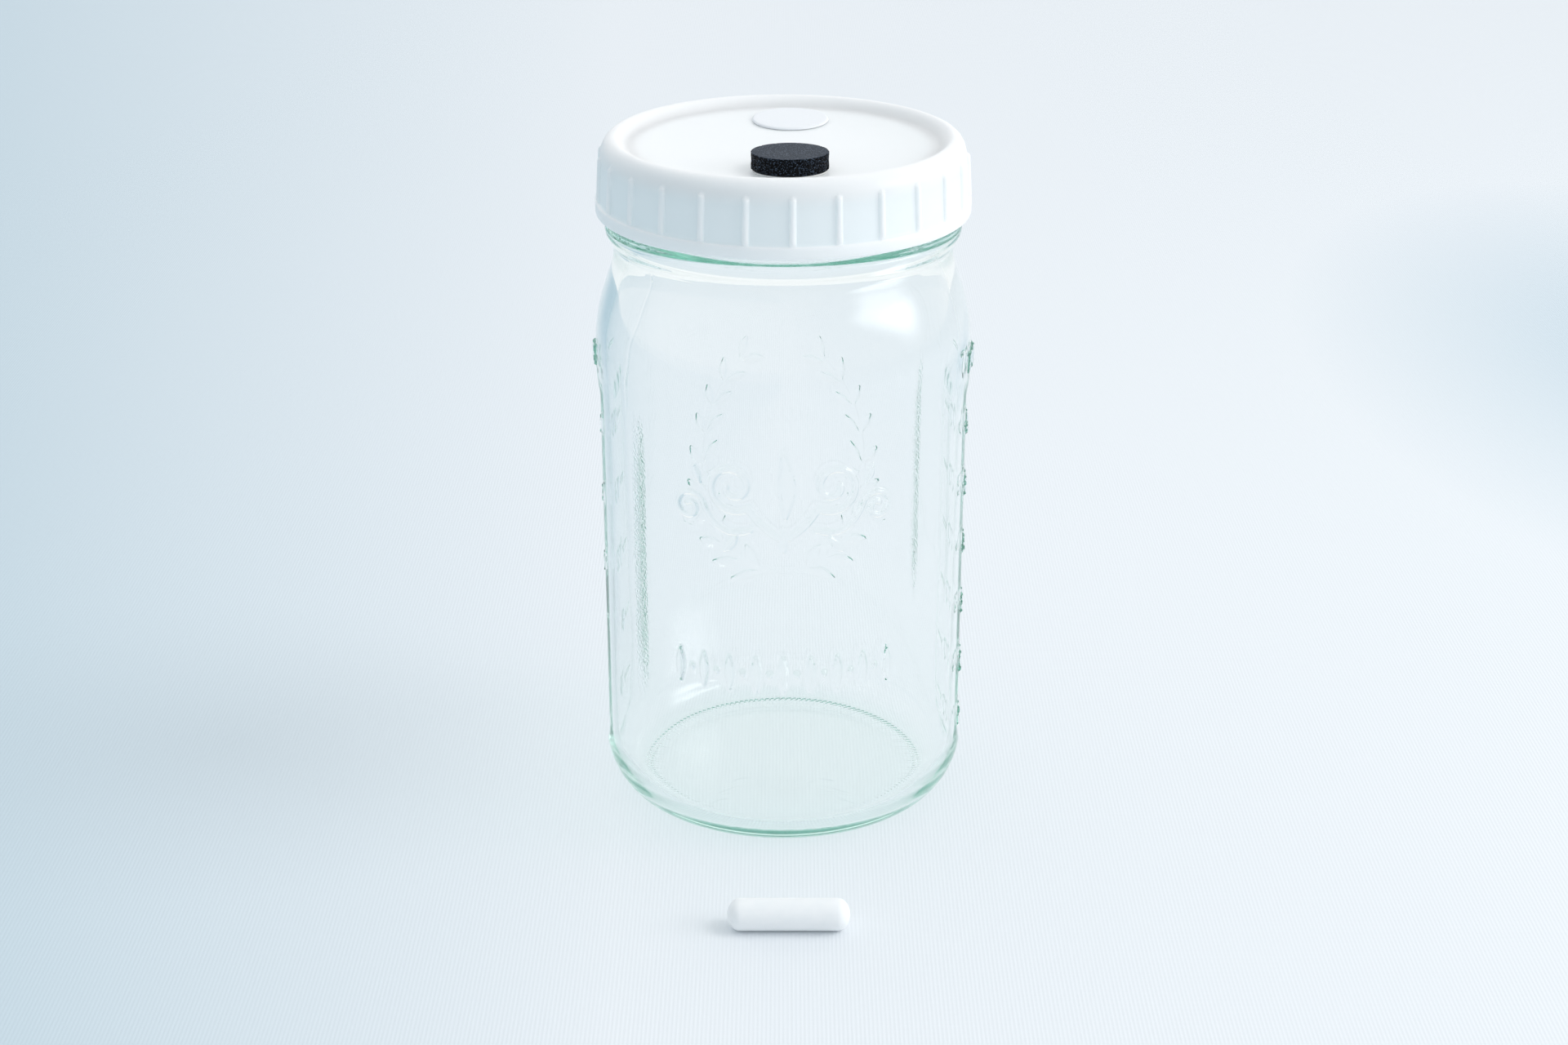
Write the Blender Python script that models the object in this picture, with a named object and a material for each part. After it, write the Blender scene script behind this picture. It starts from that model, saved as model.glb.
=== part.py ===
# Culture jar: a wide-mouth glass jar with a ribbed screw lid, an injection port and a
# filter disc on the lid, a seal under it, and the stir bar that lies in front of the jar.
# Metres, +Z up. The jar's axis is the Z axis, it stands on z = 0, and its front faces -Y.

import math

import bmesh
import bpy
from mathutils import Vector

# Clearances
SEAT_GAP = 0.0003
TAPE_GAP = 0.0002
SLIP_GAP = 0.0003

# Glass jar, outside: the finish is the part of the mouth that the lid screws on
BODY_RADIUS = 0.0480
GLASS_HEIGHT = 0.1715
FINISH_RADIUS = 0.0413
FINISH_HEIGHT = 0.0157
RIM_ROUND = 0.0012
BEAD_PROUD = 0.0035
BEAD_HEIGHT = 0.0036
BEAD_TOP_ROUND = 0.0016
BEAD_LOW_WIDTH = 0.0011
BEAD_LOW_HEIGHT = 0.0016
COVE_HEIGHT = 0.0034
NECK_PROUD = 0.0015
NECK_LENGTH = 0.0016
SHOULDER_HEIGHT = 0.0257
SHOULDER_LOW_HANDLE = 0.0145
SHOULDER_HIGH_HANDLE = 0.0067
SHOULDER_LEAN = 0.0008
HEEL_WIDTH = 0.0103
HEEL_HEIGHT = 0.0157
FOOT_WIDTH = 0.0021
BASE_PANEL_SLOPE = 0.0016
BASE_PANEL_LIFT = 0.0008

# Glass jar, inside
BODY_WALL = 0.0033
FINISH_WALL = 0.0033
BASE_THICKNESS = 0.0046
INNER_HEEL_WIDTH = 0.0072
INNER_HEEL_HEIGHT = 0.0120
INNER_NECK_RISE = 0.0030
INNER_SHOULDER_DROP = 0.0010

# Flattened grip panels on the two sides
PANEL_INSET = 0.0017
PANEL_ABOVE_HEEL = 0.0008
PANEL_BELOW_SHOULDER = 0.0090
PANEL_RUN_OUT = 0.0060

# Lid and the seal under it
SEAL_THICKNESS = 0.0012
THREAD_ROOM = 0.0021
LID_HEIGHT = 0.0188
LID_WALL = 0.0028
LID_WALL_DRAFT = 0.0006
LID_BAND_PROUD = 0.0008
LID_BAND_HEIGHT = 0.0031
LID_BAND_BEVEL = 0.0005
LID_EDGE_ROUND = 0.0005
LID_CORNER_WIDTH = 0.0033
LID_CORNER_HEIGHT = 0.0054
RIM_FLAT = 0.0007
RIM_STEP = 0.0022
RIM_STEP_WIDTH = 0.0016
LID_PANEL_THICKNESS = 0.0012
DISH_DEPTH = 0.0012
RIB_COUNT = 26
RIB_PHASE_DEG = 2.7
RIB_WIDTH = 0.0015
RIB_CROWN_WIDTH = 0.00093
RIB_CROWN_DROP = 0.00012
RIB_TOP_BELOW_RIM = 0.0038
RIB_END_TAPER = 0.0008
LOCATING_RING_ROOM = 0.0008
LOCATING_RING_WIDTH = 0.0010
LOCATING_RING_DEPTH = 0.0012

# Injection port and filter disc, each set in from the edge of the lid's panel
PORT_OFF_CENTRE = 0.0016
PORT_FROM_EDGE = 0.0165
PORT_RADIUS = 0.0094
PORT_THICKNESS = 0.0041
PORT_WAIST = 0.0002
PORT_WAIST_START = 0.0020
PORT_WAIST_END = 0.0031
PORT_HOLE_RADIUS = 0.0032
FILTER_OFF_CENTRE = 0.0018
FILTER_FROM_EDGE = 0.0137
FILTER_RADIUS = 0.0098
FILTER_THICKNESS = 0.0004
FILTER_HOLE_RADIUS = 0.0042
TAPE_THICKNESS = 0.00025
TAPE_MARGIN = 0.0003

# Stir bar
BAR_PLACE = (0.0013, -0.0840)
BAR_LENGTH = 0.0300
BAR_RADIUS = 0.0040
BAR_DOME = 0.0032
MAGNET_RADIUS = 0.0026
MAGNET_LENGTH = 0.0200

# Facets
JAR_SEGMENTS = 64
RING_SEGMENTS = 40
BAR_SEGMENTS = 32

# The glass from its finish down, and the radii of its mouth, neck and foot
BEAD_TOP = GLASS_HEIGHT - FINISH_HEIGHT
BEAD_BOTTOM = BEAD_TOP - BEAD_HEIGHT
COVE_END = BEAD_BOTTOM - COVE_HEIGHT
NECK_HEIGHT = COVE_END - NECK_LENGTH
SHOULDER_START = NECK_HEIGHT - SHOULDER_HEIGHT
MOUTH_RADIUS = FINISH_RADIUS - FINISH_WALL
BEAD_RADIUS = FINISH_RADIUS + BEAD_PROUD
NECK_RADIUS = FINISH_RADIUS + NECK_PROUD
FOOT_OUTER_RADIUS = BODY_RADIUS - HEEL_WIDTH
FOOT_INNER_RADIUS = FOOT_OUTER_RADIUS - FOOT_WIDTH
BASE_PANEL_RADIUS = FOOT_INNER_RADIUS - BASE_PANEL_SLOPE

# The glass's rim carries the seal, and the seal carries the lid
UNDERSIDE = GLASS_HEIGHT + SEAT_GAP + SEAL_THICKNESS + SEAT_GAP
PANEL_HEIGHT = UNDERSIDE + LID_PANEL_THICKNESS
RIM_HEIGHT = PANEL_HEIGHT + RIM_STEP
LID_BOTTOM = RIM_HEIGHT - LID_HEIGHT

# The lid's radii, from the glass that it closes over
LID_BORE_RADIUS = FINISH_RADIUS + THREAD_ROOM
LID_WALL_RADIUS = LID_BORE_RADIUS + LID_WALL
LID_BAND_RADIUS = LID_WALL_RADIUS + LID_BAND_PROUD
LID_CORNER_RADIUS = LID_WALL_RADIUS - LID_WALL_DRAFT - LID_CORNER_WIDTH
STEP_RADIUS = LID_CORNER_RADIUS - RIM_FLAT
PANEL_EDGE_RADIUS = STEP_RADIUS - RIM_STEP_WIDTH
LOCATING_RING_OUTER = MOUTH_RADIUS - LOCATING_RING_ROOM
PORT_PLACE = (PORT_OFF_CENTRE, PORT_FROM_EDGE - PANEL_EDGE_RADIUS)
FILTER_PLACE = (FILTER_OFF_CENTRE, PANEL_EDGE_RADIUS - FILTER_FROM_EDGE)


def clear_scene():
    for item in list(bpy.data.objects):
        bpy.data.objects.remove(item, do_unlink=True)


def make_material(name, colour, roughness, alpha=1.0, transmission=0.0):
    material = bpy.data.materials.new(name)
    material.use_nodes = True
    shader = material.node_tree.nodes["Principled BSDF"]
    shader.inputs["Base Color"].default_value = (*colour, 1.0)
    shader.inputs["Roughness"].default_value = roughness
    shader.inputs["Alpha"].default_value = alpha
    shader.inputs["Transmission Weight"].default_value = transmission
    return material


def make_object(name, mesh_builder, material):
    mesh = bpy.data.meshes.new(name)
    bmesh.ops.recalc_face_normals(mesh_builder, faces=mesh_builder.faces)
    mesh_builder.to_mesh(mesh)
    mesh_builder.free()
    mesh.shade_smooth()
    mesh.set_sharp_from_angle(angle=math.radians(25))
    item = bpy.data.objects.new(name, mesh)
    bpy.context.collection.objects.link(item)
    if material:
        mesh.materials.append(material)
    return item


def cut(item, cutter):
    cutter.hide_render = True
    cutter.display_type = "WIRE"
    modifier = item.modifiers.new("cut_" + cutter.name, "BOOLEAN")
    modifier.operation = "DIFFERENCE"
    modifier.solver = "EXACT"
    modifier.object = cutter


# Points of a quarter ellipse about (centre_r, centre_z), from one angle to another in degrees
def arc(centre_r, centre_z, width, height, start, end, steps):
    angles = [math.radians(start + (end - start) * i / steps) for i in range(steps + 1)]
    return [(centre_r + width * math.cos(a), centre_z + height * math.sin(a)) for a in angles]


# Points of a cubic curve with the four given corners
def curve(p0, p1, p2, p3, steps):
    points = []
    for i in range(steps + 1):
        t = i / steps
        a, b, c, d = (1 - t) ** 3, 3 * t * (1 - t) ** 2, 3 * t * t * (1 - t), t ** 3
        points.append(tuple(a * p + b * q + c * r + d * s for p, q, r, s in zip(p0, p1, p2, p3)))
    return points


# Turns a profile of (radius, height) points once round Z; a ring's profile is closed on itself
def turn(profile, segments, ring=False):
    builder = bmesh.new()
    verts = [builder.verts.new((radius, 0, height)) for radius, height in profile]
    pairs = list(zip(verts, verts[1:]))
    if ring:
        pairs.append((verts[-1], verts[0]))
    edges = [builder.edges.new(pair) for pair in pairs]
    bmesh.ops.spin(
        builder,
        geom=verts + edges,
        axis=(0, 0, 1),
        cent=(0, 0, 0),
        angle=2 * math.pi,
        steps=segments,
        use_merge=True,
    )
    bmesh.ops.remove_doubles(builder, verts=builder.verts, dist=1e-6)
    on_axis = [v for v in builder.verts if v.co.xy.length < 1e-7]
    bmesh.ops.dissolve_verts(builder, verts=on_axis)
    return builder


def jar_outside():
    foot = [(0, BASE_PANEL_LIFT), (BASE_PANEL_RADIUS, BASE_PANEL_LIFT), (FOOT_INNER_RADIUS, 0)]
    heel = arc(FOOT_OUTER_RADIUS, HEEL_HEIGHT, HEEL_WIDTH, HEEL_HEIGHT, -90, 0, 8)
    shoulder = curve(
        (BODY_RADIUS, SHOULDER_START),
        (BODY_RADIUS, SHOULDER_START + SHOULDER_LOW_HANDLE),
        (NECK_RADIUS + SHOULDER_LEAN, NECK_HEIGHT - SHOULDER_HIGH_HANDLE),
        (NECK_RADIUS, NECK_HEIGHT),
        8,
    )
    bead_low = arc(
        BEAD_RADIUS - BEAD_LOW_WIDTH,
        BEAD_BOTTOM + BEAD_LOW_HEIGHT,
        BEAD_LOW_WIDTH,
        BEAD_LOW_HEIGHT,
        -60,
        0,
        2,
    )
    corner = bead_low[0]
    cove = curve(
        (NECK_RADIUS, COVE_END),
        (NECK_RADIUS, COVE_END + COVE_HEIGHT / 2),
        (corner[0] - BEAD_LOW_WIDTH / 2, corner[1] - BEAD_LOW_HEIGHT / 2),
        corner,
        3,
    )[:-1]
    bead_high = arc(
        BEAD_RADIUS - BEAD_TOP_ROUND,
        BEAD_TOP - BEAD_TOP_ROUND,
        BEAD_TOP_ROUND,
        BEAD_TOP_ROUND,
        0,
        70,
        3,
    )
    neck_root = [(FINISH_RADIUS, BEAD_TOP + SLIP_GAP)]
    rim_centre = FINISH_RADIUS - RIM_ROUND
    rim = arc(rim_centre, GLASS_HEIGHT - RIM_ROUND, RIM_ROUND, RIM_ROUND, 0, 90, 4)
    return foot + heel + shoulder + cove + bead_low + bead_high + neck_root + rim


def jar_inside():
    inner = BODY_RADIUS - BODY_WALL
    neck = NECK_HEIGHT + INNER_NECK_RISE
    start = SHOULDER_START - INNER_SHOULDER_DROP
    mouth_centre = MOUTH_RADIUS + RIM_ROUND
    rim = arc(mouth_centre, GLASS_HEIGHT - RIM_ROUND, RIM_ROUND, RIM_ROUND, 90, 180, 4)
    shoulder = curve(
        (MOUTH_RADIUS, neck),
        (MOUTH_RADIUS + SHOULDER_LEAN, neck - SHOULDER_HIGH_HANDLE),
        (inner, start + SHOULDER_LOW_HANDLE),
        (inner, start),
        8,
    )
    floor = BASE_THICKNESS
    heel = arc(
        inner - INNER_HEEL_WIDTH,
        floor + INNER_HEEL_HEIGHT,
        INNER_HEEL_WIDTH,
        INNER_HEEL_HEIGHT,
        0,
        -90,
        5,
    )
    return rim + shoulder + heel + [(0, floor)]


# A wedge-ended slab that shaves one side of the body down to a flat grip panel. Each end of the
# panel runs out over PANEL_RUN_OUT, and the wedge goes on as far again outside the glass.
def make_panel_cutter(name, side):
    flat = BODY_RADIUS - PANEL_INSET
    far = BODY_RADIUS + PANEL_INSET
    bottom = HEEL_HEIGHT + PANEL_ABOVE_HEEL
    top = SHOULDER_START - PANEL_BELOW_SHOULDER
    half = BODY_RADIUS / 2
    outline = [
        (flat, bottom),
        (flat, top),
        (far, top + 2 * PANEL_RUN_OUT),
        (far, bottom - 2 * PANEL_RUN_OUT),
    ]
    builder = bmesh.new()
    face = builder.faces.new([builder.verts.new((side * x, -half, z)) for x, z in outline])
    grown = bmesh.ops.extrude_face_region(builder, geom=[face])
    moved = [v for v in grown["geom"] if isinstance(v, bmesh.types.BMVert)]
    bmesh.ops.translate(builder, verts=moved, vec=(0, 2 * half, 0))
    return make_object(name, builder, None)


def make_jar():
    glass = make_material("clear_glass", (0.80, 0.90, 0.86), 0.03, alpha=0.35, transmission=0.9)
    jar = make_object("glass_jar", turn(jar_outside() + jar_inside(), JAR_SEGMENTS), glass)
    for side, name in ((-1, "panel_cutter_left"), (1, "panel_cutter_right")):
        cut(jar, make_panel_cutter(name, side))
    return jar


# Height of the lid's sagging panel at a distance from its axis
def dish_height(radius):
    if radius >= PANEL_EDGE_RADIUS:
        return PANEL_HEIGHT
    return PANEL_HEIGHT - DISH_DEPTH * (1 - (radius / PANEL_EDGE_RADIUS) ** 3)


# Place and turn of a disc that sits on the dish at (x, y), raised by lift along its slope
def seat_on_dish(place, lift):
    radius = math.hypot(*place)
    slope = 3 * DISH_DEPTH * radius ** 2 / PANEL_EDGE_RADIUS ** 3
    normal = Vector((-slope * place[0] / radius, -slope * place[1] / radius, 1)).normalized()
    location = Vector((*place, dish_height(radius))) + normal * lift
    return location, Vector((0, 0, 1)).rotation_difference(normal)


# The lid's profile as (radius, height, rib share): rows with a rib share stand out at each rib
def lid_profile():
    ring_inner = LOCATING_RING_OUTER - LOCATING_RING_WIDTH
    ring_end = UNDERSIDE - LOCATING_RING_DEPTH
    under_steps = 6
    under = [ring_inner * i / under_steps for i in range(under_steps + 1)]
    rows = [(radius, dish_height(radius) - LID_PANEL_THICKNESS, 0) for radius in under]
    rows += [(ring_inner, ring_end, 0), (LOCATING_RING_OUTER, ring_end, 0)]
    rows += [(LOCATING_RING_OUTER, UNDERSIDE, 0), (LID_BORE_RADIUS, UNDERSIDE, 0)]
    rows += [(LID_BORE_RADIUS, LID_BOTTOM + LID_EDGE_ROUND, 0)]
    rows += [(LID_BORE_RADIUS + LID_EDGE_ROUND, LID_BOTTOM, 0)]
    edge = arc(
        LID_BAND_RADIUS - LID_EDGE_ROUND,
        LID_BOTTOM + LID_EDGE_ROUND,
        LID_EDGE_ROUND,
        LID_EDGE_ROUND,
        -90,
        0,
        3,
    )
    rows += [(radius, height, 0) for radius, height in edge]
    band_top = LID_BOTTOM + LID_BAND_HEIGHT
    rows += [(LID_BAND_RADIUS, band_top, 0)]
    rib_base = band_top + LID_BAND_BEVEL
    rib_top = RIM_HEIGHT - RIB_TOP_BELOW_RIM
    corner_start = RIM_HEIGHT - LID_CORNER_HEIGHT
    rows += [(LID_WALL_RADIUS, rib_base, 1)]
    rows += [(LID_WALL_RADIUS - LID_WALL_DRAFT, min(corner_start, rib_top - RIB_END_TAPER), 1)]
    corner = arc(LID_CORNER_RADIUS, corner_start, LID_CORNER_WIDTH, LID_CORNER_HEIGHT, 0, 90, 9)
    rows += [(radius, height, 1 if height < rib_top else 0) for radius, height in corner[1:]]
    step = arc(STEP_RADIUS, RIM_HEIGHT - RIM_STEP, RIM_STEP_WIDTH, RIM_STEP, 90, 180, 3)
    rows += [(radius, height, 0) for radius, height in step]
    over_steps = 8
    over = [PANEL_EDGE_RADIUS * (1 - i / over_steps) for i in range(1, over_steps + 1)]
    rows += [(radius, dish_height(radius), 0) for radius in over]
    return rows


# One loop of the lid: plain rows have two points to each rib, ribbed rows have six
def lid_loop(builder, radius, height, rib_share):
    if radius < 1e-9:
        return [builder.verts.new((0, 0, height))]
    pitch = 2 * math.pi / RIB_COUNT
    crest = LID_BAND_PROUD
    if rib_share:
        half = RIB_WIDTH / 2 / radius
        crown = RIB_CROWN_WIDTH / 2 / radius
        side = max(crest - RIB_CROWN_DROP, crest / 2)
        offsets = [(0, crest), (crown, side), (half, 0), (pitch / 2, 0)]
        offsets += [(pitch - half, 0), (pitch - crown, side)]
    else:
        offsets = [(0, 0), (pitch / 2, 0)]
    start = math.radians(RIB_PHASE_DEG - 90)
    loop = []
    for rib in range(RIB_COUNT):
        for offset, rise in offsets:
            angle = start + rib * pitch + offset
            distance = radius + rise * rib_share
            loop.append(builder.verts.new((distance * math.cos(angle), distance * math.sin(angle), height)))
    return loop


# Joins two loops, whose point counts are equal or three to one, or one loop to a centre point
def join_loops(builder, low, high):
    if len(low) == 1 or len(high) == 1:
        centre, loop = (low[0], high) if len(low) == 1 else (high[0], low)
        for i, vert in enumerate(loop):
            builder.faces.new((centre, vert, loop[(i + 1) % len(loop)]))
        return
    steps = min(len(low), len(high))
    low_step, high_step = len(low) // steps, len(high) // steps
    for i in range(steps):
        below = [low[(i * low_step + k) % len(low)] for k in range(low_step + 1)]
        above = [high[(i * high_step + k) % len(high)] for k in range(high_step + 1)]
        builder.faces.new(below + above[::-1])


def make_lid():
    builder = bmesh.new()
    rows = lid_profile()
    loops = [lid_loop(builder, *row) for row in rows]
    for low, high in zip(loops, loops[1:]):
        join_loops(builder, low, high)
    bmesh.ops.triangulate(builder, faces=[face for face in builder.faces if len(face.verts) > 4])
    plastic = make_material("lid_white", (0.92, 0.93, 0.94), 0.35)
    lid = make_object("lid", builder, plastic)
    drill_length = 4 * (LID_PANEL_THICKNESS + DISH_DEPTH)
    for name, place, radius in (
        ("port_hole_cutter", PORT_PLACE, PORT_HOLE_RADIUS),
        ("filter_hole_cutter", FILTER_PLACE, FILTER_HOLE_RADIUS),
    ):
        drill = bmesh.new()
        bmesh.ops.create_cone(
            drill, cap_ends=True, segments=24, radius1=radius, radius2=radius, depth=drill_length
        )
        cutter = make_object(name, drill, None)
        cutter.location = (*place, UNDERSIDE)
        cut(lid, cutter)
    return lid


def make_seal():
    low = GLASS_HEIGHT + SEAT_GAP
    high = low + SEAL_THICKNESS
    inner = LOCATING_RING_OUTER + SLIP_GAP
    outer = LID_BORE_RADIUS - SLIP_GAP
    profile = [(inner, low), (outer, low), (outer, high), (inner, high)]
    silicone = make_material("seal_silicone", (0.86, 0.88, 0.88), 0.45)
    return make_object("lid_seal", turn(profile, RING_SEGMENTS, ring=True), silicone)


def place_on_lid(item, place, lift):
    item.rotation_mode = "QUATERNION"
    item.location, item.rotation_quaternion = seat_on_dish(place, lift)


# A flat ring of tape with a hole over the one in the lid
def make_tape(name, outer, inner, place):
    profile = [(inner, 0), (outer, 0), (outer, TAPE_THICKNESS), (inner, TAPE_THICKNESS)]
    clear = make_material(name + "_clear", (0.90, 0.90, 0.88), 0.4)
    tape = make_object(name, turn(profile, RING_SEGMENTS, ring=True), clear)
    place_on_lid(tape, place, TAPE_GAP)
    return tape


def make_port():
    top, waist = PORT_RADIUS, PORT_RADIUS - PORT_WAIST
    edge = PORT_WAIST
    profile = [
        (0, 0),
        (top - edge, 0),
        (top - edge / 2, edge),
        (waist, PORT_WAIST_START),
        (waist, PORT_WAIST_END),
        (top, PORT_THICKNESS - edge),
        (top - edge, PORT_THICKNESS),
        (0, PORT_THICKNESS),
    ]
    foam = make_material("port_black", (0.02, 0.02, 0.022), 0.85)
    port = make_object("injection_port", turn(profile, RING_SEGMENTS), foam)
    place_on_lid(port, PORT_PLACE, TAPE_GAP + TAPE_THICKNESS + TAPE_GAP)
    return port


def make_filter():
    profile = [(0, 0), (FILTER_RADIUS, 0), (FILTER_RADIUS, FILTER_THICKNESS), (0, FILTER_THICKNESS)]
    membrane = make_material("filter_white", (0.95, 0.96, 0.96), 0.8)
    disc = make_object("filter_disc", turn(profile, RING_SEGMENTS), membrane)
    place_on_lid(disc, FILTER_PLACE, TAPE_GAP + TAPE_THICKNESS + TAPE_GAP)
    return disc


# A domed end of the bar about its own Z, from its rim to its tip or from its tip to its rim
def bar_dome(side, start, end):
    return arc(0, side * (BAR_LENGTH / 2 - BAR_DOME), BAR_RADIUS, BAR_DOME, start, end, 7)


def jacket_profile(bore, bore_end, seam):
    shell = [(0, -BAR_LENGTH / 2)] + bar_dome(-1, -90, 0)[1:]
    return shell + [(BAR_RADIUS, seam), (bore, seam), (bore, bore_end), (0, bore_end)]


def plug_profile(spigot, spigot_end, seam):
    stem = [(0, spigot_end), (spigot, spigot_end), (spigot, seam), (BAR_RADIUS, seam)]
    return stem + bar_dome(1, 0, 90)[1:-1] + [(0, BAR_LENGTH / 2)]


# The bar's pieces are turned round their own Z, then laid along X on the bar's upright axis
def make_stir_bar():
    axis = bpy.data.objects.new("stir_bar_axis", None)
    bpy.context.collection.objects.link(axis)
    axis.location = (*BAR_PLACE, BAR_RADIUS)
    bore = MAGNET_RADIUS + SLIP_GAP
    magnet_end = MAGNET_LENGTH / 2
    seam = BAR_LENGTH / 2 - BAR_DOME
    jacket = jacket_profile(bore, -magnet_end - SLIP_GAP, seam - SLIP_GAP)
    plug = plug_profile(bore - SLIP_GAP, magnet_end + SLIP_GAP, seam)
    rod = [(0, -magnet_end), (MAGNET_RADIUS, -magnet_end), (MAGNET_RADIUS, magnet_end), (0, magnet_end)]
    white = make_material("stir_bar_white", (0.93, 0.95, 0.96), 0.5)
    dark = make_material("magnet_dark", (0.12, 0.12, 0.13), 0.5)
    for name, profile, material in (
        ("stir_bar_jacket", jacket, white),
        ("stir_bar_plug", plug, white),
        ("stir_bar_magnet", rod, dark),
    ):
        piece = make_object(name, turn(profile, BAR_SEGMENTS), material)
        piece.parent = axis
        piece.rotation_euler = (0, math.pi / 2, 0)


def main():
    clear_scene()
    make_jar()
    make_lid()
    make_seal()
    make_tape("port_adhesive", PORT_RADIUS - TAPE_MARGIN, PORT_HOLE_RADIUS, PORT_PLACE)
    make_port()
    make_tape("filter_adhesive", FILTER_RADIUS - TAPE_MARGIN, FILTER_HOLE_RADIUS, FILTER_PLACE)
    make_filter()
    make_stir_bar()


main()
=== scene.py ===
# Looks of the culture jar: blown glass with its moulded relief, a ribbed white lid with an injection
# port and a filter disc, the seal under it, and the stir bar in front. Metres, +Z up, front faces -Y.
import math

import bmesh
import bpy
import numpy as np
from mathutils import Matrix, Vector


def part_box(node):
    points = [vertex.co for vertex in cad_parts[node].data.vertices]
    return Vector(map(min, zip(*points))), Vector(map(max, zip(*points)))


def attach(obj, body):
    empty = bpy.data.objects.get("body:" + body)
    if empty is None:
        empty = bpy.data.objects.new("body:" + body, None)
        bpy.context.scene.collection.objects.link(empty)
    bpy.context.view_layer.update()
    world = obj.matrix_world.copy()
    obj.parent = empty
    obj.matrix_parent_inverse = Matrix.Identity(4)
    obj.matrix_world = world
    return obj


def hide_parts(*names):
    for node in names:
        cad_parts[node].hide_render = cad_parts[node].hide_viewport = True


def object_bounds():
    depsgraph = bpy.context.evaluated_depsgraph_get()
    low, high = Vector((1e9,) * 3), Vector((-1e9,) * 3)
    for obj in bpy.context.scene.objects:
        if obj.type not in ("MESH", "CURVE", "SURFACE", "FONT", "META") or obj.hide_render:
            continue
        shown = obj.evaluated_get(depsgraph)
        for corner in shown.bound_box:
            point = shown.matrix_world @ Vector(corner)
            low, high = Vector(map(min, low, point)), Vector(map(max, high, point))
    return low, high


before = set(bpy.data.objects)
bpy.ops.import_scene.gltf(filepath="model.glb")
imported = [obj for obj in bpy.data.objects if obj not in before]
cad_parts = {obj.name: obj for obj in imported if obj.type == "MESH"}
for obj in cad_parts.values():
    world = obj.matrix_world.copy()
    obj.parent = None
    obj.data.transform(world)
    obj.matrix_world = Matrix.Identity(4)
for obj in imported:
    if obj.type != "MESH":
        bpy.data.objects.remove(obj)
cadLow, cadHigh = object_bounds()


# Shapes that several pieces use
onAxis = 1e-7  # a ring with a smaller radius is one point on the axis


def degArc(centreR, centreZ, width, height, start, end, steps):
    angles = np.radians(np.linspace(start, end, steps + 1))
    return [(centreR + width * math.cos(a), centreZ + height * math.sin(a)) for a in angles]


def bezier(p0, p1, p2, p3, steps):
    t = np.linspace(0, 1, steps + 1)[:, None]
    a, b, c, d = (np.array(p, float) for p in (p0, p1, p2, p3))
    return ((1 - t) ** 3 * a + 3 * t * (1 - t) ** 2 * b + 3 * t * t * (1 - t) * c + t ** 3 * d).tolist()


def straight(start, end, step):
    # points from start to end, about one step apart, without the end itself
    count = max(1, round(math.dist(start, end) / step))
    return [tuple(np.array(start) + (np.array(end) - np.array(start)) * i / count) for i in range(count)]


def shortAngle(angle):
    return (angle + math.pi) % (2 * math.pi) - math.pi


def smoothStep(value, low, high):
    t = np.clip((value - low) / (high - low), 0, 1)
    return t * t * (3 - 2 * t)


def profileNormals(profile):
    # unit vectors that point out of the turned surface, whose profile runs up its outer side
    run = np.gradient(np.array(profile), axis=0)
    normals = np.stack([run[:, 1], -run[:, 0]], axis=1)
    return normals / np.maximum(np.linalg.norm(normals, axis=1, keepdims=True), 1e-12)


def finishMesh(name, builder, sharpDeg=40):
    bmesh.ops.recalc_face_normals(builder, faces=builder.faces)
    mesh = bpy.data.meshes.new(name)
    builder.to_mesh(mesh)
    builder.free()
    mesh.shade_smooth()
    mesh.set_sharp_from_angle(angle=math.radians(sharpDeg))
    piece = bpy.data.objects.new(name, mesh)
    bpy.context.collection.objects.link(piece)
    return piece


def evenAngles(columns):
    return np.linspace(0, 2 * math.pi, columns, endpoint=False)


def addRing(builder, radii, height, around):
    # a ring whose radius may change as it goes round, or its one point on the axis
    if np.max(radii) < onAxis:
        return [builder.verts.new((0, 0, height))]
    radii = np.broadcast_to(radii, len(around))
    return [builder.verts.new((r * math.cos(a), r * math.sin(a), height)) for r, a in zip(radii, around)]


def joinRings(builder, rings, columns):
    for low, high in zip(rings, rings[1:]):
        for i in range(columns):
            j = (i + 1) % columns
            corners = [low[i % len(low)], low[j % len(low)], high[j % len(high)], high[i % len(high)]]
            builder.faces.new(list(dict.fromkeys(corners)))


def turnedBuilder(profile, columns):
    # a profile of (radius, height) that starts and ends on the axis, turned round Z
    builder = bmesh.new()
    around = evenAngles(columns)
    rings = [addRing(builder, radius, height, around) for radius, height in profile]
    joinRings(builder, rings, columns)
    return builder


# Materials

def newMaterial(name, **sockets):
    material = bpy.data.materials.new(name)
    material.use_nodes = True
    shader = material.node_tree.nodes["Principled BSDF"]
    for socket, value in sockets.items():
        shader.inputs[socket.replace("_", " ")].default_value = value
    return material, material.node_tree, shader


def addNode(tree, kind, inputs=None, **settings):
    node = tree.nodes.new(kind)
    for key, value in settings.items():
        setattr(node, key, value)
    for socket, value in (inputs or {}).items():
        if isinstance(value, bpy.types.NodeSocket):
            tree.links.new(value, node.inputs[socket])
        else:
            node.inputs[socket].default_value = value
    return node


def mathOf(tree, operation, first, second=0.0):
    return addNode(tree, "ShaderNodeMath", {0: first, 1: second}, operation=operation).outputs[0]


def vectorMath(tree, operation, first, second=(0, 0, 0)):
    node = addNode(tree, "ShaderNodeVectorMath", {0: first, 1: second}, operation=operation)
    return node.outputs["Value" if operation in ("LENGTH", "DOT_PRODUCT") else "Vector"]


def objectPlace(tree):
    return addNode(tree, "ShaderNodeTexCoord").outputs["Object"]


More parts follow.
